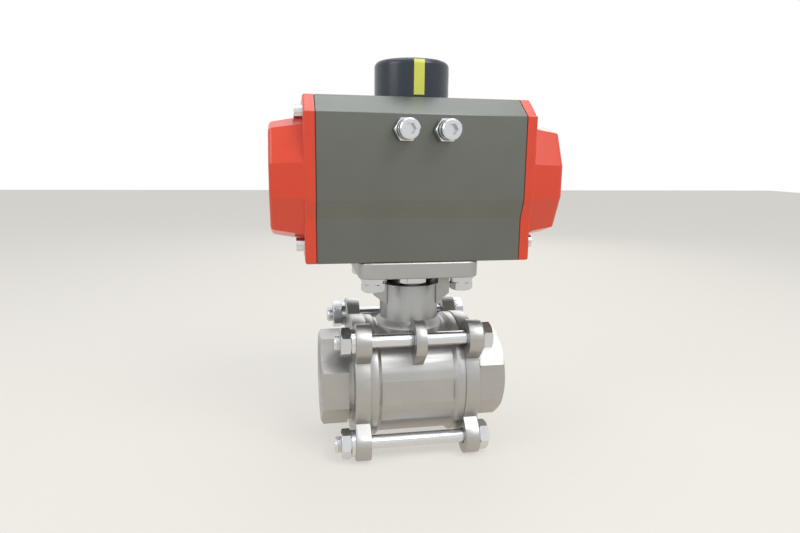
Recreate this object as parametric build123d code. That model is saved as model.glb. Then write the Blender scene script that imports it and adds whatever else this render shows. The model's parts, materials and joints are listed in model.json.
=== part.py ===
from build123d import *
import os
from math import acos, cos, pi, radians, sin, tan

# A rack-and-pinion pneumatic actuator bolted to a three-piece ball valve, in millimetres.
# The origin is the centre of the ball. +X runs along the pipe to the end with the bolt heads,
# +Y points to the side with the air ports and +Z up the stem.
# The valve is shown shut, so the bore of the ball lies along Y and both pistons are together.

# ---- Valve: pipe line and pressure body ----
valve_length = 124.0            # pipe end to pipe end
flow_bore = 38.0                # full bore of a DN 40 ball
pipe_thread = 47.8              # major diameter of the 1 1/2 inch pipe thread
thread_depth = 20.0
pipe_end_flats = 60.0           # across the flats of the octagon
pipe_end_chamfer = 1.5
centre_length = 62.8            # between the two flange faces
collar_radius = 41.5
collar_width = 5.2
collar_bevel = 2.4
barrel_radius = 39.2            # round middle between the collars
barrel_flat = 38.4              # line centre to the flat on its front and back
flange_radius = 42.0
flange_thickness = 9.8
shoulder_length = 3.0           # round neck between a flange and its octagon
tie_offset = 34.5               # tie bolts from the line centre, along Y and Z
lug_radius = 11.5
ring_lug_radius = 12.6
ring_lug_width = 7.0
cast_edge = 1.2                 # rounding on cast edges

# ---- Valve: neck and top pad ----
neck_radius = 20.0
neck_top = 66.0
window_height = 9.0             # open window between the neck and the pad
neck_foot_radius = 24.5
neck_foot_top = 42.0
neck_foot_bevel = 4.5
pad_half_width = 38.5
pad_thickness = 10.5
pad_corner = 8.0
pad_bolt_offset = 28.9
cheek_inner = 18.2
cheek_outer = 26.0
cheek_half_width = 11.0
cheek_foot = 52.0
cheek_slope = 7.0               # height over which a cheek runs out of the neck
cheek_root = 3.0                # depth to which it is rooted in the neck
spigot_radius = 27.5
spigot_height = 2.5

# ---- Valve: ball, seats and stem ----
ball_radius = 29.5
cavity_radius = 30.5
seat_inner = 19.2
seat_start = 16.0
seat_end = 27.0
seal_start = 29.5
seal_inner = 28.0
stem_radius = 10.0
stem_square = 14.0
stem_square_top = 104.0
tang_width = 17.0
tang_thickness = 8.0
tang_bottom = 21.8
collar_low = 31.0               # stem collar that can't blow out
collar_high = 34.5
stem_collar_radius = 12.0
stem_collar_gap = 0.3
thrust_washer_top = 36.0
packing_low = 50.0
packing_radius = 14.5
packing_ring = 3.0
packing_count = 3
gland_ring_height = 4.5
disc_spring_height = 1.2
disc_spring_count = 2
gland_nut_flats = 30.0
gland_nut_height = 6.0
lock_tab_thickness = 1.0
lock_tab_radius = 16.0
lock_ear_half_width = 4.0
lock_ear_gap = 0.2
disc_spring_sheet = 0.75

# ---- Tie bolts (M10) and pad bolts (M8) ----
tie_shank = 8.9
tie_thread = 10.0
tie_flats = 17.0
tie_head_height = 6.6
tie_nut_height = 6.6
tie_washer_height = 2.6
tie_stub = 4.2
tie_hole = 10.6
tie_thread_length = 18.0
tie_tip = 1.0                   # cone at the end of the thread
tie_tip_drop = 0.8
tie_washer_radius = 8.6
lower_row_turn = 3.0            # degrees that the lower nuts and heads are off the upper ones
pad_head_turn = -12.0
pad_thread = 8.0
pad_flats = 13.0
pad_head_height = 5.3
pad_spring_washer = 2.1
pad_flat_washer = 1.6
pad_flat_washer_radius = 8.0
pad_spring_washer_radius = 7.2
pad_hole_gap = 0.4              # radial, bolt holes of the pad
washer_gap = 0.2                # radial, washers on their bolts
washer_slit = 0.8
pad_bolt_reach = 13.5

# ---- Actuator: body ----
cylinder_diameter = 75.0
body_height = 100.7
body_half_length = 63.9
front_depth = 42.0              # axis to the face with the stop screws
lower_depth = 37.4              # axis to the set-back lower panels
port_depth = 53.0               # axis to the face with the air ports
top_half_width = 26.6
top_chamfer_drop = 11.0
band_high = -11.75              # set-back band, from the piston axis
band_low = -22.75
port_block_low = -20.0
port_block_high = 22.0
port_block_bevel = 11.0
body_edge = 0.8
air_port_spacing = 24.0
air_port_thread = 13.16         # 1/4 inch pipe thread
air_port_depth = 12.0
solenoid_spacing_x = 32.0
solenoid_spacing_z = 24.0
accessory_spacing_x = 80.0
accessory_spacing_y = 30.0
small_thread = 5.0
small_thread_depth = 8.0
duct_radius = 2.2
duct_offset = 1.0               # duct line outside the cylinder wall, along Y
duct_height = 20.0

# ---- Actuator: end caps ----
cap_plate = 6.7
cap_gasket = 0.6
bulge_length = 20.3
bulge_draft = 10.0
bulge_half_depth = 41.5
bulge_flat = 10.5
bulge_shoulder_depth = 31.0
bulge_shoulder_height = 33.0
bulge_top_depth = 14.0
bulge_half_height = 38.0
bulge_edge = 3.0
cap_lip = 5.5                   # cylinder wall to the hollow in the cap
cap_wall = 6.0
cap_screw_y = 25.0
cap_screw_z = 39.7
cap_screw_head = 8.5
cap_screw_head_height = 5.0
cap_screw_reach = 14.0
cap_screw_socket = 4.0
cap_screw_socket_depth = 2.5
cap_screw_gap = 0.3             # radial, screw holes of the cap and gasket
cap_edge = 1.6
scallop_radius = 8.6
scallop_height = 5.6

# ---- Actuator: rack and pinion ----
module = 2.0
pinion_teeth = 14
pressure_angle = 20.0
pinion_addendum = 1.8
rack_addendum = 1.6
root_clearance = 0.3
backlash = 0.10
rack_half_height = 13.0
teeth_half_height = 15.0
piston_head = 13.0
piston_end_gap = 0.5
rack_tip_gap = 0.6
rack_pad_thickness = 4.5
rack_pad_half_height = 9.0
rack_pad_half_length = 20.0
rack_tooth_gaps = range(-4, 2)
guide_band_width = 5.0
guide_band_depth = 1.5
guide_band_inset = 1.5          # from the inner face of the piston head
piston_seal_inset = 3.6         # from its outer face
piston_recess_wall = 9.0
piston_recess_depth = 4.0
piston_seal_section = 3.5

# ---- Actuator: pinion shaft and cam ----
lower_journal_radius = 16.5
lower_journal_top = 110.0
drive_square = 17.0
drive_square_depth = 20.0
bearing_wall = 2.1
lower_bearing_height = 8.0
lower_bearing_lift = 0.5        # lip under the lower bearing
pinion_lift = 0.3
upper_journal_radius = 11.9
upper_bearing_height = 9.0
shaft_seal_section = 2.0
accessory_shaft_radius = 10.0
accessory_shaft_flats = 14.0
accessory_shaft_height = 20.0
thrust_washer_height = 1.5
steel_washer_height = 1.0
circlip_height = 1.4
washer_radius = 18.0
circlip_radius = 15.5
circlip_groove = 1.2
circlip_opening = 5.0
cam_radius = 20.0
cam_hub_radius = 13.5
cam_half_height = 4.5
cam_flats = 20.0
cam_stop_face = 12.0
cam_pocket_radius = 21.5
cam_height = 29.95              # stop screws and cam, from the piston axis

# ---- Actuator: stop screws (M8) and indicator ----
stop_offset = 12.2
stop_thread = 8.0
stop_head = 12.0
stop_head_height = 8.0
stop_nut_flats = 13.0
stop_nut_height = 6.5
stop_seal_height = 1.5
stop_head_gap = 2.0
stop_head_bevel = 0.8
socket_flats = 6.0
socket_depth = 4.0
indicator_radius = 24.2
indicator_height = 25.7
indicator_rise = 3.0            # crown of its domed top
indicator_shoulder = 4.0
indicator_wall = 2.6
indicator_lift = 0.4
inlay_depth = 1.0
stripe_width = 6.6
stripe_low = 1.2                # from the underside of the indicator
stripe_high = 22.4
indicator_screw_thread = 6.0
indicator_screw_head = 10.0
indicator_screw_head_height = 4.0
indicator_screw_length = 12.0
indicator_screw_socket = 5.0
indicator_screw_socket_depth = 2.4
indicator_screw_seat = 1.8      # above the accessory shaft
indicator_hole_depth = 14.0

# ---- Clearances ----
running = 0.1                   # radial, shafts and pistons
thread_fit = 0.05               # radial, plain threads in plain holes
flat_gap = 0.05                 # between flat faces that slide or stop
slip_gap = 0.02                 # between parts that lie against each other

# ---- Worked-out places ----
flange_outer = centre_length / 2 + flange_thickness
pad_top = neck_top + window_height + pad_thickness
pad_bottom = pad_top - pad_thickness
axis_height = pad_top + body_height / 2
body_top = pad_top + body_height
bore_radius = cylinder_diameter / 2
cap_cavity_radius = bore_radius - cap_lip
rack_back = bore_radius - rack_pad_thickness
duct_depth = bore_radius + duct_offset
cap_face = body_half_length + cap_gasket
plate_face = cap_face + cap_plate
cap_end = plate_face + bulge_length
pitch_radius = module * pinion_teeth / 2
stroke = pitch_radius * pi / 2
head_outer = body_half_length - piston_end_gap - stroke
head_inner = head_outer - piston_head
rack_reach = head_inner - rack_tip_gap
piston_radius = bore_radius - running
packing_top = packing_low + packing_ring * packing_count
gland_ring_top = packing_top + gland_ring_height
gland_nut_low = gland_ring_top + disc_spring_height * disc_spring_count + 0.2
gland_nut_high = gland_nut_low + gland_nut_height
lock_tab_high = gland_nut_high + lock_tab_thickness
stop_head_low = front_depth + stop_seal_height + stop_nut_height + stop_head_gap
indicator_low = body_top + indicator_lift
shaft_top = body_top + accessory_shaft_height
journal_top = body_top + thrust_washer_height + steel_washer_height + circlip_height + 1.0
four_corners = [(-1, -1), (-1, 1), (1, -1), (1, 1)]


# ---- Small helpers ----
def rod(axis, radius, start, end, across=(0, 0), end_radius=None):
    """Cylinder or cone along an axis; `across` is its place on the other two axes."""
    first, second = across
    middle = (start + end) / 2
    turn = {"x": Rot(0, 90, 0), "y": Rot(-90, 0, 0), "z": Rot(0, 0, 0)}[axis]
    places = {
        "x": Pos(middle, first, second),
        "y": Pos(first, middle, second),
        "z": Pos(first, second, middle),
    }
    if end_radius is None:
        shape = Cylinder(radius, end - start)
    else:
        shape = Cone(radius, end_radius, end - start)
    return places[axis] * turn * shape


def tube(axis, outer, inner, start, end, across=(0, 0)):
    """Ring with a plain bore."""
    return rod(axis, outer, start, end, across) - rod(axis, inner, start - 1, end + 1, across)


def block(x, y, z):
    """Box from its (low, high) pairs."""
    centre = Pos((x[0] + x[1]) / 2, (y[0] + y[1]) / 2, (z[0] + z[1]) / 2)
    return centre * Box(x[1] - x[0], y[1] - y[0], z[1] - z[0])


def hexagon(axis, flats, start, end, across=(0, 0), sides=6, turn=0):
    """Prism with regular sides along X or Z; `flats` is measured across them."""
    outline = RegularPolygon(flats / 2, sides, major_radius=False, rotation=turn)
    plane = Plane.YZ if axis == "x" else Plane.XY
    return extrude(plane.offset(start) * Pos(*across) * outline, end - start)


def chamfered_hexagon(axis, flats, start, end, across=(0, 0), turn=0):
    """Hexagon with its corners turned off, as on nuts and bolt heads."""
    prism = hexagon(axis, flats, start, end, across, turn=turn)
    corner = flats / 2 / cos(pi / 6)
    drop = (corner - flats / 2 * 0.97) * tan(radians(30))
    cutter = rod(axis, corner, start + drop, end - drop, across)
    high = rod(axis, corner, end - drop, end, across, flats / 2 * 0.97)
    low = rod(axis, flats / 2 * 0.97, start, start + drop, across, corner)
    return prism & (cutter + high + low)


def ring_seal(axis, outer, section, place):
    """O-ring whose outside just meets the radius `outer`."""
    turn = Rot(0, 90, 0) if axis == "x" else Rot(0, 0, 0)
    where = Pos(place, 0, axis_height) if axis == "x" else Pos(0, 0, place)
    return where * turn * Torus(outer - section / 2, section / 2)


def group(solids):
    """Several separate solids that share one node."""
    return Compound(children=list(solids))


# ---- Valve parts ----
def radial_lug(y_side, z_side, start, end, radius):
    """Arm from the line centre out to a tie bolt, with a round end."""
    reach = tie_offset * 2 ** 0.5
    angle = {(-1, -1): 225, (-1, 1): 135, (1, -1): 315, (1, 1): 45}[(y_side, z_side)]
    outline = Pos(reach / 2, 0) * Rectangle(reach, 2 * radius) + Pos(reach, 0) * Circle(radius)
    placed = Plane.YZ.offset(start) * Rot(0, 0, angle) * outline
    return extrude(placed, end - start)


def valve_body():
    half = centre_length / 2
    shape = rod("x", barrel_radius, -half, half)
    shape &= block((-half, half), (-barrel_flat, barrel_flat), (-barrel_radius, barrel_radius))
    for side in (-1, 1):
        inner, outer = sorted((side * (half - collar_width), side * half))
        shape += rod("x", collar_radius, inner, outer)
        foot = side * (half - collar_width - collar_bevel)
        if side > 0:
            shape += rod("x", barrel_radius, foot, inner, end_radius=collar_radius)
        else:
            shape += rod("x", collar_radius, outer, foot, end_radius=barrel_radius)
    for y_side in (-1, 1):
        arm = radial_lug(y_side, 1, -ring_lug_width / 2, ring_lug_width / 2, ring_lug_radius)
        shape += arm
    shape += rod("z", neck_foot_radius, 0, neck_foot_top - neck_foot_bevel)
    shape += rod("z", neck_foot_radius, neck_foot_top - neck_foot_bevel, neck_foot_top,
                 end_radius=neck_radius)
    shape += rod("z", neck_radius, 0, neck_top)
    shape += top_pad()
    for side in (-1, 1):
        shape += cheek(side)
    shape -= rod("x", cavity_radius, -half, half)
    shape -= rod("z", stem_collar_radius + stem_collar_gap, 0, thrust_washer_top)
    shape -= rod("z", stem_radius + running, 0, neck_top + 1)
    shape -= rod("z", packing_radius, packing_low, neck_top + 1)
    for y_side in (-1, 1):
        where = (y_side * tie_offset, tie_offset)
        shape -= rod("x", tie_hole / 2, -ring_lug_width, ring_lug_width, where)
    return shape


def top_pad():
    outline = RectangleRounded(2 * pad_half_width, 2 * pad_half_width, pad_corner)
    pad = extrude(Plane.XY.offset(pad_bottom) * outline, pad_thickness)
    pad = fillet(pad.faces().sort_by(Axis.Z)[-1].edges(), cast_edge)
    pad = fillet(pad.faces().sort_by(Axis.Z)[0].edges(), cast_edge)
    pad -= rod("z", spigot_radius + running, pad_top - spigot_height - 0.5, pad_top + 1)
    pad -= rod("z", cheek_inner, pad_bottom - 1, pad_top)
    for x_side, y_side in four_corners:
        where = (x_side * pad_bolt_offset, y_side * pad_bolt_offset)
        pad -= rod("z", pad_thread / 2 + pad_hole_gap, pad_bottom - 1, pad_top + 1, where)
    return pad


def cheek(side):
    """Upright that carries the pad on the neck, beside the open window."""
    outline = [
        (side * (neck_radius - cheek_root), cheek_foot),
        (side * cheek_outer, cheek_foot + cheek_slope),
        (side * cheek_outer, pad_bottom + 1),
        (side * cheek_inner, pad_bottom + 1),
        (side * cheek_inner, neck_top),
        (side * (neck_radius - cheek_root), neck_top),
    ]
    face = make_face(Plane.XZ * Polyline(*outline, close=True))
    upright = extrude(face, cheek_half_width, both=True)
    return upright - rod("z", packing_radius, cheek_foot - 1, neck_top + 1)


def pipe_end(side):
    """Flanged end piece, drawn at +X and mirrored for the other end."""
    inner = centre_length / 2
    outer = valve_length / 2
    shape = rod("x", flange_radius, inner, flange_outer)
    for y_side, z_side in four_corners:
        shape += radial_lug(y_side, z_side, inner, flange_outer, lug_radius)
    shape = fillet(shape.edges().filter_by(GeomType.CIRCLE).group_by(Axis.X)[-1], cast_edge)
    shape += rod("x", pipe_end_flats / 2, flange_outer - 1, flange_outer + shoulder_length)
    octagon = hexagon("x", pipe_end_flats, flange_outer + shoulder_length, outer, sides=8, turn=22.5)
    corner = pipe_end_flats / 2 / cos(pi / 8)
    lathe = rod("x", corner, flange_outer, outer - pipe_end_chamfer)
    lathe += rod("x", corner, outer - pipe_end_chamfer, outer, end_radius=corner - 1.7 * pipe_end_chamfer)
    shape += octagon & lathe
    shape += rod("x", seal_inner, seat_end + flat_gap, inner + 1)
    shape += rod("x", cavity_radius - running, seat_end + flat_gap, seal_start)
    shape -= rod("x", flow_bore / 2, 0, outer + 1)
    shape -= rod("x", pipe_thread / 2, outer - thread_depth, outer + 1)
    shape -= rod("x", pipe_thread / 2, outer - 1.2, outer, end_radius=pipe_thread / 2 + 1.2)
    for y_side, z_side in four_corners:
        where = (y_side * tie_offset, z_side * tie_offset)
        shape -= rod("x", tie_hole / 2, inner - 1, flange_outer + 1, where)
    return to_side(shape, side)


def to_side(shape, side):
    return shape if side > 0 else mirror(shape, Plane.YZ)


def seat(side):
    """Ring with a round face against the ball, turned from its half section."""
    outer = cavity_radius - running
    low = Pos((seat_start + seat_end) / 2, (seat_inner + outer) / 2)
    half_section = low * Rectangle(seat_end - seat_start, outer - seat_inner)
    half_section -= Circle(ball_radius + flat_gap)
    return to_side(revolve(half_section, Axis.X), side)


def body_seal(side):
    return to_side(tube("x", cavity_radius - flat_gap, seal_inner + flat_gap, seal_start,
                        centre_length / 2), side)


def ball():
    slot = block((-ball_radius, ball_radius), (-tang_thickness / 2 - running, tang_thickness / 2 + running),
                 (tang_bottom - 0.3, ball_radius + 1))
    return Sphere(ball_radius) - rod("y", flow_bore / 2, -ball_radius, ball_radius) - slot


def stem():
    tang = block((-tang_width / 2, tang_width / 2), (-tang_thickness / 2, tang_thickness / 2),
                 (tang_bottom, collar_low + 1))
    shape = tang & rod("z", stem_radius, tang_bottom, collar_low + 1)
    shape += rod("z", stem_collar_radius, collar_low, collar_high)
    shape += rod("z", stem_radius, collar_high - 1, lock_tab_high + 0.5)
    shape -= seal_groove(stem_radius, shaft_seal_section, seal_place())
    square = block((-stem_square / 2, stem_square / 2), (-stem_square / 2, stem_square / 2),
                   (lock_tab_high, stem_square_top))
    square = chamfer(square.edges().group_by(Axis.Z)[-1], 1.0)
    return shape + (square & rod("z", stem_radius, lock_tab_high, stem_square_top))


def seal_place():
    return (thrust_washer_top + packing_low) / 2


def seal_groove(radius, section, place):
    """Rectangular groove for an O-ring round a Z shaft."""
    return tube("z", radius + 1, radius - section + 0.05, place - section * 0.65, place + section * 0.65)


def stem_seal():
    return ring_seal("z", stem_radius + thread_fit, shaft_seal_section, seal_place())


def stem_thrust_washer():
    return tube("z", stem_collar_radius, stem_radius + running, collar_high + flat_gap, thrust_washer_top)


def stem_packing():
    rings = []
    for number in range(packing_count):
        low = packing_low + number * packing_ring
        rings.append(tube("z", packing_radius - thread_fit, stem_radius + running, low,
                          low + packing_ring - slip_gap))
    return group(rings)


def gland_ring():
    return tube("z", packing_radius - running, stem_radius + running, packing_top, gland_ring_top)


def disc_springs():
    """Two coned spring washers, back to back."""
    inner = stem_radius + 0.2
    outer = packing_radius - 0.5
    springs = []
    for number in range(disc_spring_count):
        low = gland_ring_top + flat_gap + number * disc_spring_height
        rise = disc_spring_height - 0.8
        first, last = (rise, 0) if number % 2 else (0, rise)
        tips = [(inner, first), (outer, last)]
        tips += [(outer, last + disc_spring_sheet), (inner, first + disc_spring_sheet)]
        points = [(radius, low + height) for radius, height in tips]
        face = make_face(Plane.XZ * Polyline(*points, close=True))
        springs.append(revolve(face, Axis.Z))
    return group(springs)


def gland_nut():
    nut = chamfered_hexagon("z", gland_nut_flats, gland_nut_low, gland_nut_high)
    return nut - rod("z", stem_radius + thread_fit, gland_nut_low - 1, gland_nut_high + 1)


def lock_tab():
    """Thin washer whose two bent ears keep the gland nut from turning."""
    plate = tube("z", lock_tab_radius, stem_radius + thread_fit, gland_nut_high, lock_tab_high)
    flat = gland_nut_flats / 2 + lock_ear_gap
    ears = []
    for side in (-1, 1):
        low, high = sorted((side * flat, side * (flat + lock_tab_thickness)))
        ears.append(block((-lock_ear_half_width, lock_ear_half_width), (low, high),
                          (gland_nut_low + 1.5, lock_tab_high)))
    bridge = block((-lock_ear_half_width, lock_ear_half_width), (-flat, flat),
                   (gland_nut_high, lock_tab_high))
    bridge -= rod("z", stem_radius + thread_fit, gland_nut_low, lock_tab_high + 1)
    return plate + bridge + ears[0] + ears[1]


# ---- Fasteners of the valve ----
def tie_places():
    return [(y_side * tie_offset, z_side * tie_offset) for y_side, z_side in four_corners]


def hexagon_turn(z):
    """Bolts of the upper row stand on a corner; those of the lower row were left part-turned."""
    return 90 if z > 0 else 60 + lower_row_turn


def tie_nut_face():
    return -flange_outer - tie_washer_height


def tie_bolts():
    bolts = []
    for where in tie_places():
        tip = tie_nut_face() - tie_nut_height - tie_stub
        head_end = flange_outer + tie_head_height
        bolt = chamfered_hexagon("x", tie_flats, flange_outer, head_end, where, hexagon_turn(where[1]))
        bolt += rod("x", tie_shank / 2, tip + tie_thread_length, flange_outer + 1, where)
        bolt += rod("x", tie_thread / 2, tip + tie_tip, tip + tie_thread_length, where)
        bolt += rod("x", tie_thread / 2 - tie_tip_drop, tip, tip + tie_tip, where, tie_thread / 2)
        bolts.append(bolt)
    return group(bolts)


def tie_nuts():
    nuts = []
    for where in tie_places():
        nut_end = tie_nut_face() - tie_nut_height
        nut = chamfered_hexagon("x", tie_flats, nut_end, tie_nut_face(), where, hexagon_turn(where[1]))
        nuts.append(nut - rod("x", tie_thread / 2 + thread_fit, -valve_length, 0, where))
    return group(nuts)


def split_washer(axis, outer, inner, start, end, across):
    """Spring lock washer with its slit."""
    ring = tube(axis, outer, inner, start, end, across)
    first, second = across
    half = washer_slit / 2
    if axis == "x":
        slit = block((start - 1, end + 1), (first - half, first + half), (second, second + outer + 1))
    else:
        slit = block((first - outer - 1, first), (second - half, second + half), (start - 1, end + 1))
    return ring - slit


def tie_washers():
    return group([
        split_washer("x", tie_washer_radius, tie_thread / 2 + washer_gap, tie_nut_face(),
                     -flange_outer, where)
        for where in tie_places()
    ])


def pad_places():
    return [(x_side * pad_bolt_offset, y_side * pad_bolt_offset) for x_side, y_side in four_corners]


def pad_washer_face():
    return pad_bottom - pad_flat_washer


def pad_head_face():
    return pad_washer_face() - pad_spring_washer


def pad_bolts():
    bolts = []
    for where in pad_places():
        low = pad_head_face() - pad_head_height
        head = chamfered_hexagon("z", pad_flats, low, pad_head_face(), where, pad_head_turn)
        bolts.append(head + rod("z", pad_thread / 2, pad_head_face() - 1, pad_top + pad_bolt_reach, where))
    return group(bolts)


def pad_spring_washers():
    return group([
        split_washer("z", pad_spring_washer_radius, pad_thread / 2 + washer_gap, pad_head_face(),
                     pad_washer_face(), where)
        for where in pad_places()
    ])


def pad_flat_washers():
    return group([
        tube("z", pad_flat_washer_radius, pad_thread / 2 + 0.2, pad_washer_face(), pad_bottom, where)
        for where in pad_places()
    ])


# ---- Actuator housing ----
def section(points, start, end):
    """Solid along X from an outline of (depth, height from the piston axis)."""
    lifted = [(y, z + axis_height) for y, z in points]
    outline = Plane.YZ.offset(start) * Polygon(*lifted, align=None)
    return extrude(outline, end - start, dir=(1, 0, 0))


def front_outline():
    half = body_height / 2
    return [
        (-lower_depth, -half),
        (-lower_depth, band_low),
        (-front_depth, band_high),
        (-front_depth, half - top_chamfer_drop),
        (-top_half_width, half),
    ]


def mirrored_front():
    return [(-y, z) for y, z in reversed(front_outline())]


def rear_outline():
    half = body_height / 2
    return [
        (top_half_width, half),
        (front_depth, half - top_chamfer_drop),
        (front_depth, port_block_high + port_block_bevel),
        (port_depth, port_block_high),
        (port_depth, port_block_low),
        (lower_depth, port_block_low - port_block_bevel),
        (lower_depth, -half),
    ]


def cap_screw_places():
    return [(y * cap_screw_y, axis_height + z * cap_screw_z) for y, z in four_corners]


def actuator_body():
    half = body_half_length
    shape = section(front_outline() + rear_outline(), -half, half)
    shape = fillet(shape.edges().filter_by(Axis.X), body_edge)
    shape += rod("z", spigot_radius, pad_top - spigot_height, pad_top + 1)
    axis = (0, axis_height)
    shape -= rod("x", bore_radius, -half - 1, half + 1, axis)
    for where in cap_screw_places():
        for side in (-1, 1):
            low, high = sorted((side * (half - cap_screw_reach - 2), side * (half + 1)))
            shape -= rod("x", small_thread / 2 + thread_fit, low, high, where)
    shape -= rod("z", lower_journal_radius + running, pad_top - 5, axis_height)
    seat_top = pad_top + lower_bearing_lift + lower_bearing_height
    shape -= rod("z", lower_journal_radius + running + bearing_wall, pad_top - 5, seat_top)
    shape -= rod("z", upper_journal_radius + running, axis_height, body_top + 1)
    seat_low = body_top - upper_bearing_height
    shape -= rod("z", upper_journal_radius + running + bearing_wall, seat_low, body_top + 1)
    pocket_high = axis_height + cam_height + cam_half_height + 0.5
    shape -= rod("z", cam_pocket_radius, axis_height, pocket_high)
    for where in pad_places():
        shape -= rod("z", pad_thread / 2 + thread_fit, pad_top - 1, pad_top + pad_bolt_reach + 1.5, where)
    for side in (-1, 1):
        where = (side * stop_offset, axis_height + cam_height)
        shape -= rod("y", stop_thread / 2 + thread_fit, -front_depth - 1, 0, where)
    shape -= air_passages()
    shape -= accessory_holes()
    return shape


def air_passages():
    """Two threaded ports: one to the middle chamber, one by a duct to both end chambers."""
    half = air_port_spacing / 2
    cuts = rod("y", air_port_thread / 2, port_depth - air_port_depth, port_depth + 1, (-half, axis_height))
    cuts += rod("y", air_port_thread / 2, port_depth - air_port_depth, port_depth + 1, (half, axis_height))
    cuts += rod("y", duct_radius, bore_radius - 5, port_depth, (-half, axis_height))
    link_depth = port_depth - air_port_depth
    cuts += rod("z", duct_radius, axis_height, axis_height + duct_height + duct_radius, (half, link_depth))
    cuts += rod("x", duct_radius, -body_half_length - 1, body_half_length + 1,
                (duct_depth, axis_height + duct_height))
    return cuts


def accessory_holes():
    cuts = None
    for x_side, z_side in four_corners:
        low = port_depth - small_thread_depth
        where = (x_side * solenoid_spacing_x / 2, axis_height + z_side * solenoid_spacing_z / 2)
        hole = rod("y", small_thread / 2, low, port_depth + 1, where)
        cuts = hole if cuts is None else cuts + hole
        where = (x_side * accessory_spacing_x / 2, z_side * accessory_spacing_y / 2)
        cuts += rod("z", small_thread / 2, body_top - small_thread_depth, body_top + 1, where)
    return cuts


def end_cap(side):
    plate = section(front_outline() + mirrored_front(), cap_face, plate_face)
    plate = fillet(plate.edges().filter_by(Axis.X), body_edge)
    plate = fillet(plate.faces().sort_by(Axis.X)[-1].edges(), cap_edge)
    shape = plate + bulge()
    for where in cap_screw_places():
        shape -= rod("x", scallop_radius, plate_face, plate_face + scallop_height, where)
        shape -= rod("x", small_thread / 2 + cap_screw_gap, cap_face - 1, cap_end, where)
    shape -= rod("x", cap_cavity_radius, cap_face - 1, cap_end - cap_wall, (0, axis_height))
    slot_y = (cap_cavity_radius - 4, duct_depth + duct_radius)
    slot_z = (axis_height + duct_height - duct_radius, axis_height + duct_height + duct_radius)
    shape -= block((cap_face - 1, cap_face + 3), slot_y, slot_z)
    return to_side(shape, side)


def bulge():
    """Eight-sided hollow that the piston room runs into, drafted towards its end."""
    quarter = [
        (bulge_half_depth, bulge_flat),
        (bulge_shoulder_depth, bulge_shoulder_height),
        (bulge_top_depth, bulge_half_height),
    ]
    upper = quarter + [(-y, z) for y, z in reversed(quarter)]
    outline = upper + [(y, -z) for y, z in reversed(upper)]
    lifted = [(y, z + axis_height) for y, z in outline]
    root = Plane.YZ.offset(plate_face - 1) * Polygon(*lifted, align=None)
    shape = extrude(root, bulge_length + 1, taper=bulge_draft)
    return fillet(shape.edges().group_by(Axis.X)[-1], bulge_edge)


def cap_gasket_sheet(side):
    inset = 0.3
    sheet = section(front_outline() + mirrored_front(), body_half_length, cap_face)
    sheet &= section(
        [(y * (1 - inset / front_depth), z * (1 - inset / front_depth))
         for y, z in front_outline() + mirrored_front()], body_half_length, cap_face)
    sheet -= rod("x", bore_radius, 0, cap_end, (0, axis_height))
    for where in cap_screw_places():
        sheet -= rod("x", small_thread / 2 + cap_screw_gap, 0, cap_end, where)
    sheet -= rod("x", duct_radius, 0, cap_end, (duct_depth, axis_height + duct_height))
    return to_side(sheet, side)


def end_cap_screws():
    screws = []
    for side in (-1, 1):
        for where in cap_screw_places():
            head_top = plate_face + cap_screw_head_height
            screw = rod("x", small_thread / 2, body_half_length - cap_screw_reach, plate_face + 1, where)
            screw += rod("x", cap_screw_head / 2, plate_face, head_top, where)
            screw -= hexagon("x", cap_screw_socket, head_top - cap_screw_socket_depth, head_top + 1, where)
            screws.append(to_side(screw, side))
    return group(screws)


def pinion_bottom_bearing():
    inner = lower_journal_radius + running
    low = pad_top + lower_bearing_lift
    return tube("z", inner + bearing_wall - slip_gap, inner, low, low + lower_bearing_height)


def pinion_top_bearing():
    inner = upper_journal_radius + running
    return tube("z", inner + bearing_wall - slip_gap, inner, body_top - upper_bearing_height, body_top - 0.2)


def stop_places():
    return [(side * stop_offset, axis_height + cam_height) for side in (-1, 1)]


def stop_screws():
    screws = []
    for x, z in stop_places():
        top = -stop_head_low - stop_head_height
        screw = rod("y", stop_thread / 2, -stop_head_low - 1, -cam_stop_face - flat_gap, (x, z))
        head = rod("y", stop_head / 2, top, -stop_head_low, (x, z))
        head = chamfer(head.faces().sort_by(Axis.Y)[0].edges(), stop_head_bevel)
        outline = RegularPolygon(socket_flats / 2, 6, major_radius=False)
        socket = extrude(Plane.XZ.offset(-top - socket_depth) * Pos(x, z) * outline, socket_depth + 1)
        screws.append(head + screw - socket)
    return group(screws)


def stop_screw_nuts():
    nuts = []
    for x, z in stop_places():
        low = -front_depth - stop_seal_height - stop_nut_height
        upright = chamfered_hexagon("z", stop_nut_flats, 0, stop_nut_height)
        nut = Pos(x, low, z) * Rot(-90, 0, 0) * upright
        nuts.append(nut - rod("y", stop_thread / 2 + thread_fit, low - 1, 0, (x, z)))
    return group(nuts)


def stop_screw_seals():
    return group([
        tube("y", stop_nut_flats / 2, stop_thread / 2 + thread_fit, -front_depth - stop_seal_height,
             -front_depth, place)
        for place in stop_places()
    ])


# ---- Pistons ----
def gap_profile(pitch_y, towards):
    """Space between two rack teeth, as half widths at three depths from the pitch line."""
    slope = tan(radians(pressure_angle))
    half = pi * module / 4 + backlash / 2
    root = pinion_addendum + root_clearance
    tip = rack_addendum + 1.0
    return [
        (-half + root * slope, pitch_y - towards * root),
        (half - root * slope, pitch_y - towards * root),
        (half + tip * slope, pitch_y + towards * tip),
        (-half - tip * slope, pitch_y + towards * tip),
    ]


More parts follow.
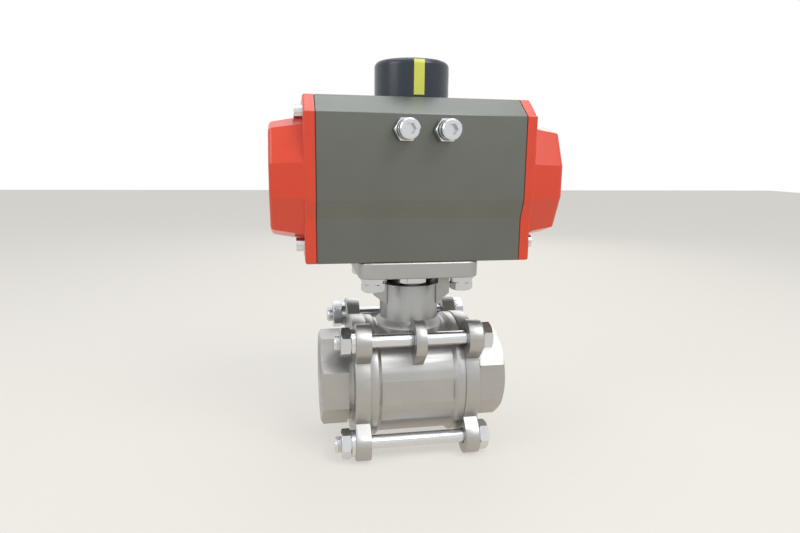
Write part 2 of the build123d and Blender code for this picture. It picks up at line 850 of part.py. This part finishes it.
def right_piston_shape():
    """Piston on the +X side; its rack runs along the -Y side of the pinion."""
    axis = (0, axis_height)
    head = rod("x", piston_radius, head_inner, head_outer, axis)
    recess_floor = head_outer - piston_recess_depth
    head -= rod("x", piston_radius - piston_recess_wall, recess_floor, head_outer + 1, axis)
    pitch_y = -pitch_radius
    arm_face = pitch_y + rack_addendum
    arm = block((-rack_reach, head_inner + 1), (-rack_back, arm_face),
                (axis_height - rack_half_height, axis_height + rack_half_height))
    for number in rack_tooth_gaps:
        shift = number * pi * module
        points = [(x + shift, y) for x, y in gap_profile(pitch_y, 1)]
        face = make_face(Plane.XY.offset(axis_height - rack_half_height - 1) * Polyline(*points, close=True))
        arm -= extrude(face, 2 * rack_half_height + 2)
    shape = head + arm
    band_start = head_inner + guide_band_inset
    shape -= tube("x", bore_radius, piston_radius - guide_band_depth, band_start,
                  band_start + guide_band_width, axis)
    groove = piston_seal_section
    shape -= tube("x", bore_radius, piston_radius - groove - 0.1, seal_middle() - groove * 0.62,
                  seal_middle() + groove * 0.62, axis)
    return shape


def seal_middle():
    return head_outer - piston_seal_inset


def half_turn(shape, side):
    """The left piston is the right one turned half round the pinion."""
    return shape if side > 0 else Rot(0, 0, 180) * shape


def guide_band():
    low = head_inner + guide_band_inset + flat_gap
    outer = bore_radius - flat_gap
    return tube("x", outer, piston_radius - guide_band_depth, low, low + guide_band_width - 2 * flat_gap,
                (0, axis_height))


def piston_seal():
    return ring_seal("x", bore_radius - slip_gap, piston_seal_section, seal_middle())


def rack_pad():
    """Sliding strip between the back of the rack and the cylinder wall."""
    strip = block((-rack_pad_half_length, rack_pad_half_length), (-bore_radius, -rack_back),
                  (axis_height - rack_pad_half_height, axis_height + rack_pad_half_height))
    return strip & rod("x", piston_radius, -rack_pad_half_length, rack_pad_half_length, (0, axis_height))


# ---- Pinion shaft ----
def involute_tooth():
    """One pinion tooth pointing along +X, from inside the root to its tip."""
    base = pitch_radius * cos(radians(pressure_angle))
    root = pitch_radius - rack_addendum - root_clearance
    tip = pitch_radius + pinion_addendum
    involute = tan(radians(pressure_angle)) - radians(pressure_angle)
    at_pitch = pi / (2 * pinion_teeth) - backlash / (2 * pitch_radius)
    steps = 6
    flank = [(root - 1, at_pitch + involute), (base, at_pitch + involute)]
    for step in range(1, steps + 1):
        radius = base + (tip - base) * step / steps
        roll = acos(base / radius)
        flank.append((radius, at_pitch + involute - (tan(roll) - roll)))
    upper = [(radius * cos(angle), radius * sin(angle)) for radius, angle in flank]
    lower = [(x, -y) for x, y in reversed(upper)]
    return make_face(Polyline(*(upper + lower), close=True))


def pinion():
    gear = Circle(pitch_radius - rack_addendum - root_clearance)
    for number in range(pinion_teeth):
        gear += Rot(0, 0, 90 + number * 360 / pinion_teeth) * involute_tooth()
    shape = extrude(Plane.XY.offset(axis_height - teeth_half_height) * gear, 2 * teeth_half_height)
    shape += rod("z", lower_journal_radius, pad_top + pinion_lift, lower_journal_top)
    shape += rod("z", upper_journal_radius, lower_journal_top - 1, journal_top)
    shape += accessory_shaft()
    square = drive_square / 2 + flat_gap
    shape -= block((-square, square), (-square, square), (pad_top - 1, pad_top + drive_square_depth))
    shape -= seal_groove(lower_journal_radius, shaft_seal_section, lower_seal_place())
    shape -= seal_groove(upper_journal_radius, shaft_seal_section, upper_seal_place())
    shape -= tube("z", upper_journal_radius + 1, circlip_inner(), circlip_low(),
                  circlip_low() + circlip_height)
    cam_low = axis_height + cam_height - cam_half_height
    for side in (-1, 1):
        low, high = sorted((side * cam_flats / 2, side * 20))
        shape -= block((low, high), (-20, 20), (cam_low, cam_low + 2 * cam_half_height))
    hole_floor = shaft_top - indicator_hole_depth
    shape -= rod("z", indicator_screw_thread / 2 + thread_fit, hole_floor, shaft_top + 1)
    return shape


def accessory_shaft():
    """Round stub with two flats, which drives an accessory and the indicator."""
    shape = rod("z", accessory_shaft_radius, journal_top - 1, shaft_top)
    for side in (-1, 1):
        low, high = sorted((side * accessory_shaft_flats / 2, side * 20))
        shape -= block((low, high), (-20, 20), (journal_top + 2, shaft_top + 1))
    return chamfer(shape.faces().sort_by(Axis.Z)[-1].edges(), 0.5)


def lower_seal_place():
    return pad_top + lower_bearing_lift + lower_bearing_height + shaft_seal_section


def upper_seal_place():
    return body_top - upper_bearing_height - shaft_seal_section


def circlip_low():
    return body_top + flat_gap + thrust_washer_height + steel_washer_height


def circlip_inner():
    return upper_journal_radius - circlip_groove


def pinion_bottom_seal():
    return ring_seal("z", lower_journal_radius + thread_fit, shaft_seal_section, lower_seal_place())


def pinion_top_seal():
    return ring_seal("z", upper_journal_radius + thread_fit, shaft_seal_section, upper_seal_place())


def stop_cam():
    """Disc with two stop faces a quarter turn apart, cut back to a hub between them."""
    low = axis_height + cam_height - cam_half_height
    high = low + 2 * cam_half_height
    disc = rod("z", cam_radius, low, high)
    disc -= block((-30, 30), (-30, -cam_stop_face), (low - 1, high + 1))
    disc -= block((-30, -cam_stop_face), (-30, 30), (low - 1, high + 1))
    relief = stop_offset - stop_thread / 2 - 0.7
    quarter = block((0, 30), (0, 30), (low - 2, high + 2))
    disc -= block((-30, relief), (-30, relief), (low - 1, high + 1)) - quarter
    disc += rod("z", cam_hub_radius, low, high)
    bore = rod("z", upper_journal_radius + thread_fit, low - 1, high + 1)
    half = cam_flats / 2 + thread_fit
    return disc - (bore & block((-half, half), (-30, 30), (low - 1, high + 1)))


def pinion_thrust_washer():
    low = body_top + flat_gap
    return tube("z", washer_radius, upper_journal_radius + running, low, low + thrust_washer_height)


def pinion_steel_washer():
    low = body_top + flat_gap + thrust_washer_height
    return tube("z", washer_radius, upper_journal_radius + running, low, low + steel_washer_height)


def pinion_circlip():
    low = circlip_low()
    ring = tube("z", circlip_radius, circlip_inner() + thread_fit, low, low + circlip_height - slip_gap)
    half = circlip_opening / 2
    return ring - block((-half, half), (0, 2 * circlip_radius), (low - 1, low + circlip_height + 1))


def drive_sleeve():
    """Square bush between the stem and the pinion."""
    half = drive_square / 2 - flat_gap
    hole = stem_square / 2 + flat_gap
    low = pad_top + 1
    high = stem_square_top + 0.5
    shape = block((-half, half), (-half, half), (low, high))
    return shape - block((-hole, hole), (-hole, hole), (low - 1, high + 1))


def dome(radius, height, shoulder):
    """Round knob with a crowned top and a rolled shoulder, on the indicator's underside."""
    crown = (radius ** 2 + indicator_rise ** 2) / (2 * indicator_rise)
    shape = rod("z", radius, indicator_low, indicator_low + height)
    shape &= Pos(0, 0, indicator_low + height - crown) * Sphere(crown)
    rim = shape.edges().filter_by(lambda edge: edge.is_closed).sort_by(Axis.Z)[-1]
    return fillet(rim, shoulder)


def indicator_inlay():
    """Bars let into the front and the back of the cap, up to its crown."""
    band = block((-stripe_width / 2, stripe_width / 2), (-indicator_radius, indicator_radius),
                 (indicator_low + stripe_low, indicator_low + stripe_high))
    outer = dome(indicator_radius, indicator_height, indicator_shoulder)
    core = dome(indicator_radius - inlay_depth, indicator_height - inlay_depth,
                indicator_shoulder - inlay_depth)
    return (outer & band) - core


def indicator_cap():
    shape = dome(indicator_radius, indicator_height, indicator_shoulder) - indicator_inlay()
    hollow = rod("z", indicator_radius - indicator_wall, indicator_low - 1, shaft_top - 3)
    boss = tube("z", accessory_shaft_radius + 2, accessory_shaft_radius + 0.1, journal_top + 0.5, shaft_top)
    shape -= hollow
    shape += boss & rod("z", 30, journal_top + 0.5, shaft_top)
    shape -= rod("z", accessory_shaft_radius + 0.1, indicator_low - 1, shaft_top + 0.1)
    return shape - indicator_screw_hole()


def indicator_screw_hole():
    hole = rod("z", indicator_screw_thread / 2 + washer_gap, shaft_top - 1, body_top + 40)
    seat_z = shaft_top + indicator_screw_seat
    return hole + rod("z", indicator_screw_head / 2 + washer_gap, seat_z, body_top + 40)


def indicator_stripe():
    return indicator_inlay()


def indicator_screw():
    seat_z = shaft_top + indicator_screw_seat
    screw = rod("z", indicator_screw_thread / 2, shaft_top - indicator_screw_length, seat_z + 1)
    screw += rod("z", indicator_screw_head / 2, seat_z, seat_z + indicator_screw_head_height)
    top = seat_z + indicator_screw_head_height
    return screw - hexagon("z", indicator_screw_socket, top - indicator_screw_socket_depth, top + 1)


# ---- Every node by name ----
nodes = {
    "actuator_body": actuator_body(),
    "end_cap_screws": end_cap_screws(),
    "pinion_bottom_bearing": pinion_bottom_bearing(),
    "pinion_top_bearing": pinion_top_bearing(),
    "stop_screws": stop_screws(),
    "stop_screw_nuts": stop_screw_nuts(),
    "stop_screw_seals": stop_screw_seals(),
    "valve_body": valve_body(),
    "tie_bolts": tie_bolts(),
    "tie_nuts": tie_nuts(),
    "tie_washers": tie_washers(),
    "pad_bolts": pad_bolts(),
    "pad_spring_washers": pad_spring_washers(),
    "pad_flat_washers": pad_flat_washers(),
    "stem_thrust_washer": stem_thrust_washer(),
    "stem_packing": stem_packing(),
    "gland_ring": gland_ring(),
    "ball": ball(),
    "stem": stem(),
    "stem_seal": stem_seal(),
    "disc_springs": disc_springs(),
    "gland_nut": gland_nut(),
    "lock_tab": lock_tab(),
    "pinion": pinion(),
    "stop_cam": stop_cam(),
    "pinion_bottom_seal": pinion_bottom_seal(),
    "pinion_top_seal": pinion_top_seal(),
    "pinion_thrust_washer": pinion_thrust_washer(),
    "pinion_steel_washer": pinion_steel_washer(),
    "pinion_circlip": pinion_circlip(),
    "drive_sleeve": drive_sleeve(),
    "indicator_cap": indicator_cap(),
    "indicator_stripe": indicator_stripe(),
    "indicator_screw": indicator_screw(),
}
for name, side in (("left", -1), ("right", 1)):
    nodes[name + "_end_cap"] = end_cap(side)
    nodes[name + "_cap_gasket"] = cap_gasket_sheet(side)
    nodes[name + "_pipe_end"] = pipe_end(side)
    nodes[name + "_seat"] = seat(side)
    nodes[name + "_body_seal"] = body_seal(side)
    nodes[name + "_piston"] = half_turn(right_piston_shape(), side)
    nodes[name + "_guide_band"] = half_turn(guide_band(), side)
    nodes[name + "_piston_seal"] = half_turn(piston_seal(), side)
    nodes[name + "_rack_pad"] = half_turn(rack_pad(), side)

os.makedirs("parts", exist_ok=True)
for name, shape in nodes.items():
    export_step(shape, "parts/" + name + ".step")
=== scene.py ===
import bpy
import json
from math import pi, radians
from mathutils import Matrix, Vector


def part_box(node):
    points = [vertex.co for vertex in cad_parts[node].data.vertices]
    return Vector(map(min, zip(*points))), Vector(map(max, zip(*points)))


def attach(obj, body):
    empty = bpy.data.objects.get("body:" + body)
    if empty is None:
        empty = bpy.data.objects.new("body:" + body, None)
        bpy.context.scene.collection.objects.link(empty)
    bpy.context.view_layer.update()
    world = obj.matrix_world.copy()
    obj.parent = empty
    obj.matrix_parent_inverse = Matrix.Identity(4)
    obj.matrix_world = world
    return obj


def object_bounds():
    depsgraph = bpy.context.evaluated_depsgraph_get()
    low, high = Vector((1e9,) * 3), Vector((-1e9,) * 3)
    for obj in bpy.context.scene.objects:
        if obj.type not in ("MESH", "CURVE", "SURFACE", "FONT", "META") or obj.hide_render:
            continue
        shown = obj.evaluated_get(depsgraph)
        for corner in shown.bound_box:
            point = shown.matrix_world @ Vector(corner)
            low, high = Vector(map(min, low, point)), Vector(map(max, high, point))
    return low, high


# A ball valve with its air actuator: metres, origin at the ball's centre, +X along the pipe,
# +Y to the air ports, +Z up the stem.

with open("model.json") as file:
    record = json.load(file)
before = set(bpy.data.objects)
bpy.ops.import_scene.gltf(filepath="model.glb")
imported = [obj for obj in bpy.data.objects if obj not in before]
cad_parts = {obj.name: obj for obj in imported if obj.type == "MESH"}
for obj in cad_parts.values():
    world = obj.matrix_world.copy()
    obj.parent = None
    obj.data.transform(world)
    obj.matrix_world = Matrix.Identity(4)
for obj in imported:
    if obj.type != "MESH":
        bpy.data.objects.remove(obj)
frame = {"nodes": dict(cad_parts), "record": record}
cad_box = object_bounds()
nodes = frame["nodes"]
MM = 0.001

# A Mix node in colour mode: its two colours come in at these inputs and leave by this output.
COLOUR_A, COLOUR_B, COLOUR_OUT = 6, 7, 2
# The middle range of a noise pattern, which hardly ever reaches 0 or 1.
NOISE_LOW, NOISE_HIGH = 0.3, 0.7

weld_distance = 0.002 * MM
sharp_corner = 30
casting_edge = 0.7 * MM
machined_edge = 0.25 * MM

tie_offset = 34.5 * MM
tie_radius = 5 * MM
tie_pitch = 1.0 * MM
port_radius = 23.9 * MM
port_pitch = 2.2 * MM
port_thread_end = 18 * MM
port_thread_start = 1.8 * MM
steps_per_turn = 40

floor_size = 6
floor_gap = 0.0002
floor_own_light = 0.55
room_light = 0.3


# ---- Materials ----
def linear(hex_colour):
    """sRGB hex to the linear colour that shaders use."""
    parts = [int(hex_colour[start:start + 2], 16) / 255 for start in (1, 3, 5)]
    return [p / 12.92 if p <= 0.04045 else ((p + 0.055) / 1.055) ** 2.4 for p in parts] + [1.0]


def add_node(tree, kind, values=None, **settings):
    """One shader node: settings are its own, values go to its inputs or link to them."""
    node = tree.nodes.new(kind)
    for name, setting in settings.items():
        setattr(node, name, setting)
    for name, value in (values or {}).items():
        if isinstance(value, bpy.types.NodeSocket):
            tree.links.new(value, node.inputs[name])
        else:
            node.inputs[name].default_value = value
    return node


def new_material(name):
    """Empty material with its shader and output joined, and object coordinates to hand."""
    material = bpy.data.materials.new(name)
    material.use_nodes = True
    tree = material.node_tree
    tree.nodes.clear()
    shader = add_node(tree, "ShaderNodeBsdfPrincipled")
    add_node(tree, "ShaderNodeOutputMaterial", {"Surface": shader.outputs["BSDF"]})
    place = add_node(tree, "ShaderNodeTexCoord").outputs["Object"]
    return material, tree, shader, place


def stretched(tree, place, scale):
    """Coordinates scaled apart, which draws a pattern out along the axis with the small scale."""
    return add_node(tree, "ShaderNodeMapping", {"Vector": place, "Scale": scale}).outputs["Vector"]


def grain(tree, place, size, detail=3.0, roughness=0.55):
    """Noise whose lumps are about `size` metres across."""
    values = {"Vector": place, "Scale": 1 / size, "Detail": detail, "Roughness": roughness}
    return add_node(tree, "ShaderNodeTexNoise", values).outputs["Fac"]


def spread(tree, factor, low, high):
    """Noise turned to a range of values."""
    values = {"Value": factor, "From Min": NOISE_LOW, "From Max": NOISE_HIGH,
              "To Min": low, "To Max": high}
    return add_node(tree, "ShaderNodeMapRange", values).outputs["Result"]


def blend_colours(tree, factor, first, second):
    """One colour turning to another as the factor goes from 0 to 1."""
    mix = add_node(tree, "ShaderNodeMix", data_type="RGBA")
    tree.links.new(factor, mix.inputs["Factor"])
    mix.inputs[COLOUR_A].default_value = linear(first)
    mix.inputs[COLOUR_B].default_value = linear(second)
    return mix.outputs[COLOUR_OUT]


def bump(tree, height, depth, strength=1.0):
    """Relief `depth` metres deep."""
    values = {"Height": height, "Distance": depth, "Strength": strength}
    return add_node(tree, "ShaderNodeBump", values).outputs["Normal"]


def anodised_extrusion():
    """Hard-anodised extruded aluminium: dull dark grey with faint die lines along its length."""
    material, tree, shader, place = new_material("hard_anodised_aluminium")
    die_lines = grain(tree, stretched(tree, place, (0.02, 1, 1)), 0.9 * MM)
    clouds = grain(tree, place, 30 * MM)
    colour = blend_colours(tree, clouds, "#6b6d67", "#747771")
    tree.links.new(colour, shader.inputs["Base Color"])
    tree.links.new(spread(tree, die_lines, 0.34, 0.42), shader.inputs["Roughness"])
    shader.inputs["Metallic"].default_value = 0.85
    tree.links.new(bump(tree, die_lines, 0.02 * MM, 0.5), shader.inputs["Normal"])
    return material


def orange_powder_coat():
    """Baked powder paint on a die casting: even and glossy, with a faint orange-peel skin."""
    material, tree, shader, place = new_material("orange_powder_coat")
    peel = grain(tree, place, 2.2 * MM, 2.0)
    clouds = grain(tree, place, 25 * MM)
    tree.links.new(blend_colours(tree, clouds, "#e2401f", "#e94a2a"), shader.inputs["Base Color"])
    tree.links.new(spread(tree, peel, 0.28, 0.36), shader.inputs["Roughness"])
    shader.inputs["Coat Weight"].default_value = 0.25
    shader.inputs["Coat Roughness"].default_value = 0.12
    tree.links.new(bump(tree, peel, 0.03 * MM, 0.6), shader.inputs["Normal"])
    return material


def blasted_stainless():
    """Investment-cast stainless, shot blasted: satin, with a fine pitted skin."""
    material, tree, shader, place = new_material("shot_blasted_stainless")
    pits = grain(tree, place, 0.7 * MM, 4.0, 0.6)
    clouds = grain(tree, place, 14 * MM)
    tree.links.new(blend_colours(tree, clouds, "#a7a7a6", "#b3b3b1"), shader.inputs["Base Color"])
    tree.links.new(spread(tree, pits, 0.36, 0.46), shader.inputs["Roughness"])
    shader.inputs["Metallic"].default_value = 1.0
    tree.links.new(bump(tree, pits, 0.05 * MM, 0.7), shader.inputs["Normal"])
    return material


def bright_steel():
    """Cold-drawn stainless fasteners: bright, with fine marks from drawing and turning."""
    material, tree, shader, place = new_material("bright_drawn_stainless")
    marks = grain(tree, stretched(tree, place, (1, 0.1, 0.1)), 0.5 * MM)
    tree.links.new(blend_colours(tree, marks, "#c9ccd0", "#d6d8da"), shader.inputs["Base Color"])
    tree.links.new(spread(tree, marks, 0.14, 0.24), shader.inputs["Roughness"])
    shader.inputs["Metallic"].default_value = 1.0
    tree.links.new(bump(tree, marks, 0.01 * MM, 0.4), shader.inputs["Normal"])
    return material


def polished_ball_steel():
    """Ground and polished stainless of the ball: a near mirror with hairline grinding marks."""
    material, tree, shader, place = new_material("polished_stainless")
    marks = grain(tree, stretched(tree, place, (1, 1, 0.05)), 0.4 * MM)
    tree.links.new(blend_colours(tree, marks, "#cfd0d2", "#dcdcde"), shader.inputs["Base Color"])
    tree.links.new(spread(tree, marks, 0.06, 0.12), shader.inputs["Roughness"])
    shader.inputs["Metallic"].default_value = 1.0
    return material


def nickel_steel():
    """Nickel-plated turned steel of the pinion, with turning rings round the shaft."""
    material, tree, shader, place = new_material("nickel_plated_steel")
    rings = grain(tree, stretched(tree, place, (0.05, 0.05, 1)), 0.35 * MM)
    tree.links.new(blend_colours(tree, rings, "#a9a79f", "#b8b6ad"), shader.inputs["Base Color"])
    tree.links.new(spread(tree, rings, 0.24, 0.36), shader.inputs["Roughness"])
    shader.inputs["Metallic"].default_value = 1.0
    tree.links.new(bump(tree, rings, 0.015 * MM, 0.5), shader.inputs["Normal"])
    return material


def cast_aluminium():
    """Raw die-cast aluminium of the pistons: pale, matt and slightly mottled."""
    material, tree, shader, place = new_material("die_cast_aluminium")
    skin = grain(tree, place, 1.2 * MM, 4.0)
    tree.links.new(blend_colours(tree, skin, "#b3b6b8", "#c4c7c9"), shader.inputs["Base Color"])
    tree.links.new(spread(tree, skin, 0.42, 0.56), shader.inputs["Roughness"])
    shader.inputs["Metallic"].default_value = 0.9
    tree.links.new(bump(tree, skin, 0.05 * MM, 0.5), shader.inputs["Normal"])
    return material


def skived_ptfe():
    """White PTFE: waxy, dull and a little translucent."""
    material, tree, shader, place = new_material("skived_ptfe")
    wax = grain(tree, place, 3 * MM)
    tree.links.new(blend_colours(tree, wax, "#eeeee6", "#f6f6f0"), shader.inputs["Base Color"])
    tree.links.new(spread(tree, wax, 0.45, 0.55), shader.inputs["Roughness"])
    shader.inputs["Subsurface Weight"].default_value = 0.15
    shader.inputs["Subsurface Scale"].default_value = 1 * MM
    return material


def natural_acetal():
    """Machined acetal bearing plastic: cream white with a slight sheen."""
    material, tree, shader, place = new_material("natural_acetal")
    marks = grain(tree, place, 1.5 * MM)
    tree.links.new(blend_colours(tree, marks, "#e2ddc8", "#ece8d6"), shader.inputs["Base Color"])
    tree.links.new(spread(tree, marks, 0.34, 0.44), shader.inputs["Roughness"])
    return material


def nitrile_rubber():
    """Black nitrile seals: dull, with a dusting of talc."""
    material, tree, shader, place = new_material("nitrile_rubber")
    talc = grain(tree, place, 2 * MM, 4.0)
    tree.links.new(blend_colours(tree, talc, "#151515", "#222221"), shader.inputs["Base Color"])
    tree.links.new(spread(tree, talc, 0.6, 0.75), shader.inputs["Roughness"])
    return material


def indicator_plastic():
    """Injection-moulded dark blue ABS of the indicator: smooth, with a soft gloss."""
    material, tree, shader, place = new_material("moulded_dark_blue_abs")
    skin = grain(tree, place, 1.0 * MM, 2.0)
    tree.links.new(blend_colours(tree, skin, "#222b37", "#28323f"), shader.inputs["Base Color"])
    tree.links.new(spread(tree, skin, 0.22, 0.30), shader.inputs["Roughness"])
    tree.links.new(bump(tree, skin, 0.004 * MM, 0.3), shader.inputs["Normal"])
    return material


def stripe_plastic():
    """Moulded yellow ABS bar let into the indicator."""
    material, tree, shader, place = new_material("moulded_yellow_abs")
    skin = grain(tree, place, 1.0 * MM, 2.0)
    tree.links.new(blend_colours(tree, skin, "#dfe05f", "#e6e76c"), shader.inputs["Base Color"])
    tree.links.new(spread(tree, skin, 0.28, 0.36), shader.inputs["Roughness"])
    return material


finishes = {
    "anodised_aluminium": anodised_extrusion(),
    "cap_paint": orange_powder_coat(),
    "cast_stainless": blasted_stainless(),
    "bright_steel": bright_steel(),
    "polished_ball": polished_ball_steel(),
    "pinion_steel": nickel_steel(),
    "cast_aluminium": cast_aluminium(),
    "ptfe": skived_ptfe(),
    "acetal": natural_acetal(),
    "nitrile_rubber": nitrile_rubber(),
    "indicator_plastic": indicator_plastic(),
    "stripe_plastic": stripe_plastic(),
}
node_slots = {part["node"]: part["material_slot"] for part in frame["record"]["subparts"]}
for name, node in nodes.items():
    node.data.materials.clear()
    node.data.materials.append(finishes[node_slots[name]])


# ---- Soft edges on the parts as they come from the frame ----
def soften(node, width):
    """Joins the faces of a part along their edges, then rolls its sharp edges."""
    weld = node.modifiers.new("join_faces", "WELD")
    weld.merge_threshold = weld_distance
    edge = node.modifiers.new("soft_edges", "BEVEL")
    edge.width = width
    edge.segments = 2
    edge.limit_method = "ANGLE"
    edge.angle_limit = radians(sharp_corner)
    edge.use_clamp_overlap = True
    edge.harden_normals = True


for name in ("left_pipe_end", "right_pipe_end", "valve_body"):
    soften(nodes[name], casting_edge)
for name in ("actuator_body", "tie_nuts", "tie_bolts", "stop_screws", "stop_screw_nuts",
             "pad_bolts"):
    soften(nodes[name], machined_edge)


# ---- Screw threads ----
def thread(name, body, slot, centre, radius, pitch, start, end, inward=False):
    """Helical ridge along X on a bolt, or in a bore when `inward`, from `start` to `end`."""
    bpy.ops.object.select_all(action="DESELECT")
    depth = 0.45 * pitch
    half_width = 0.5 * pitch
    sunk = 0.2 * depth
    crest = 0.8 * depth
    bpy.ops.mesh.primitive_circle_add(vertices=3, radius=half_width, fill_type="NOTHING")
    ridge = bpy.context.active_object
    ridge.name = name
    flip = -1 if inward else 1
    outline = [(-sunk, -half_width), (-sunk, half_width), (crest, 0.0)]
    for vertex, (out, along) in zip(ridge.data.vertices, outline):
        vertex.co = (radius + flip * out, 0, along)
    screw = ridge.modifiers.new("helix", "SCREW")
    screw.axis = "Z"
    screw.angle = 2 * pi
    screw.screw_offset = pitch
    screw.iterations = int((end - start) / pitch)
    screw.steps = steps_per_turn
    screw.render_steps = steps_per_turn
    screw.use_merge_vertices = True
    bpy.ops.object.modifier_apply(modifier="helix")
    turn = Matrix.Rotation(pi / 2, 4, "Y")
    low = Vector((start, *centre))
    ridge.data.transform(Matrix.Translation(low) @ turn @ Matrix.Translation((0, 0, half_width)))
    bpy.ops.object.mode_set(mode="EDIT")
    bpy.ops.mesh.select_all(action="SELECT")
    bpy.ops.mesh.normals_make_consistent(inside=False)
    bpy.ops.object.mode_set(mode="OBJECT")
    bpy.ops.object.shade_smooth_by_angle(angle=radians(40))
    ridge.data.materials.append(finishes[slot])
    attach(ridge, body)


def add_threads():
    """Threads on the bare ends of the tie bolts and inside both pipe ports."""
    stub_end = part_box("tie_bolts")[0][0]
    nut_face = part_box("tie_nuts")[0][0]
    corners = [(y, z) for y in (-tie_offset, tie_offset) for z in (-tie_offset, tie_offset)]
    for number, corner in enumerate(corners):
        thread(f"tie_bolt_thread_{number + 1}", "housing", "bright_steel", corner, tie_radius,
               tie_pitch, stub_end + 0.8 * MM, nut_face + 1.0 * MM)
    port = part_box("right_pipe_end")[1][0]
    thread("right_port_thread", "housing", "cast_stainless", (0, 0), port_radius, port_pitch,
           port - port_thread_end, port - port_thread_start, inward=True)
    thread("left_port_thread", "housing", "cast_stainless", (0, 0), port_radius, port_pitch,
           -port + port_thread_start, -port + port_thread_end, inward=True)


add_threads()


# ---- Stage: floor, light and camera ----
def seen_directly(tree):
    """1 for a ray from the camera, a mirror or glass, and 0 for the light that falls on things."""
    path = add_node(tree, "ShaderNodeLightPath")
    names = ("Is Camera Ray", "Is Glossy Ray", "Is Transmission Ray")
    camera, glossy, transmission = [path.outputs[name] for name in names]
    most = add_node(tree, "ShaderNodeMath", {0: camera, 1: glossy}, operation="MAXIMUM")
    values = {0: most.outputs[0], 1: transmission}
    return add_node(tree, "ShaderNodeMath", values, operation="MAXIMUM").outputs[0]


def floor_material():
    """Pale studio paper with a faint tooth, a share of which is its own even brightness."""
    material, tree, shader, place = new_material("pale_studio_paper")
    tooth = grain(tree, place, 4 * MM)
    tree.links.new(blend_colours(tree, tooth, "#e2dccf", "#e6e0d4"), shader.inputs["Base Color"])
    shader.inputs["Roughness"].default_value = 0.9
    shader.inputs["Specular IOR Level"].default_value = 0.1
    values = {0: seen_directly(tree), 1: floor_own_light}
    share = add_node(tree, "ShaderNodeMath", values, operation="MULTIPLY")
    even = add_node(tree, "ShaderNodeEmission", {"Color": linear("#fbf9f5"), "Strength": 1.0})
    values = {0: share.outputs[0], 1: shader.outputs[0], 2: even.outputs[0]}
    mix = add_node(tree, "ShaderNodeMixShader", values)
    tree.links.new(mix.outputs[0], tree.get_output_node("ALL").inputs["Surface"])
    return material


def add_floor():
    """Floor just under the lowest point of the object."""
    floor_height = cad_box[0][2]
    bpy.ops.object.select_all(action="DESELECT")
    bpy.ops.mesh.primitive_plane_add(size=floor_size, location=(0, 0, floor_height - floor_gap))
    floor = bpy.context.active_object
    floor.name = "studio_floor"
    floor.data.materials.append(floor_material())


def add_world():
    """White room that lights the object dimly and is seen at full white."""
    world = bpy.data.worlds.new("studio_room")
    world.use_nodes = True
    tree = world.node_tree
    tree.nodes.clear()
    seen = seen_directly(tree)
    values = {"Value": seen, "To Min": room_light, "To Max": 1.0}
    strength = add_node(tree, "ShaderNodeMapRange", values)
    values = {"Color": linear("#ffffff"), "Strength": strength.outputs["Result"]}
    room = add_node(tree, "ShaderNodeBackground", values)
    add_node(tree, "ShaderNodeOutputWorld", {"Surface": room.outputs[0]})
    bpy.context.scene.world = world


def add_softbox(name, place, target, width, height, power, colour):
    """Rectangular area light aimed at its target and out of the camera's sight."""
    light = bpy.data.lights.new(name, "AREA")
    light.shape = "RECTANGLE"
    light.size = width
    light.size_y = height
    light.energy = power
    light.color = linear(colour)[:3]
    lamp = bpy.data.objects.new(name, light)
    bpy.context.scene.collection.objects.link(lamp)
    direction = Vector(target) - Vector(place)
    lamp.location = place
    lamp.rotation_euler = direction.to_track_quat("-Z", "Y").to_euler()
    lamp.visible_camera = False


def add_card(name, place, width, depth, radiance, colour):
    """Tinted card that lies face up, to warm what faces the floor."""
    power = radiance * pi * width * depth
    add_softbox(name, place, Vector(place) + Vector((0, 0, 1)), width, depth, power, colour)


def add_camera():
    """Camera in front of the object, a little to the left and looking slightly down."""
    camera = bpy.data.objects.new("camera", bpy.data.cameras.new("camera"))
    bpy.context.scene.collection.objects.link(camera)
    camera.data.sensor_width = 36
    camera.data.lens = 26.53
    camera.data.clip_start = 0.01
    yaw, pitch, roll = 10.46, 10.65, 0.67
    turn = Matrix.Rotation(radians(-yaw), 4, "Z") @ Matrix.Rotation(radians(90 - pitch), 4, "X")
    camera.matrix_world = (Matrix.Translation((-0.0785, -0.3915, 0.1508)) @ turn
                           @ Matrix.Rotation(radians(roll), 4, "Z"))
    bpy.context.scene.camera = camera


add_floor()
add_world()
middle = (0, 0, 0.08)
add_softbox("key_softbox", (0.4, -0.6, 0.9), middle, 0.6, 0.6, 5.5, "#ffffff")
add_softbox("left_softbox", (-0.85, -0.35, 0.6), middle, 0.5, 0.6, 2.5, "#f6faff")
add_softbox("top_softbox", (0, 0.1, 0.95), middle, 0.8, 0.6, 3.0, "#f0f6ff")
add_softbox("back_softbox", (0.3, 0.9, 0.5), middle, 0.6, 0.6, 2.0, "#ffffff")
add_card("warm_card", (0, -0.1, -0.0458), 0.5, 0.3, 0.12, "#ffc36a")
add_camera()

bpy.context.scene.view_settings.view_transform = "Standard"
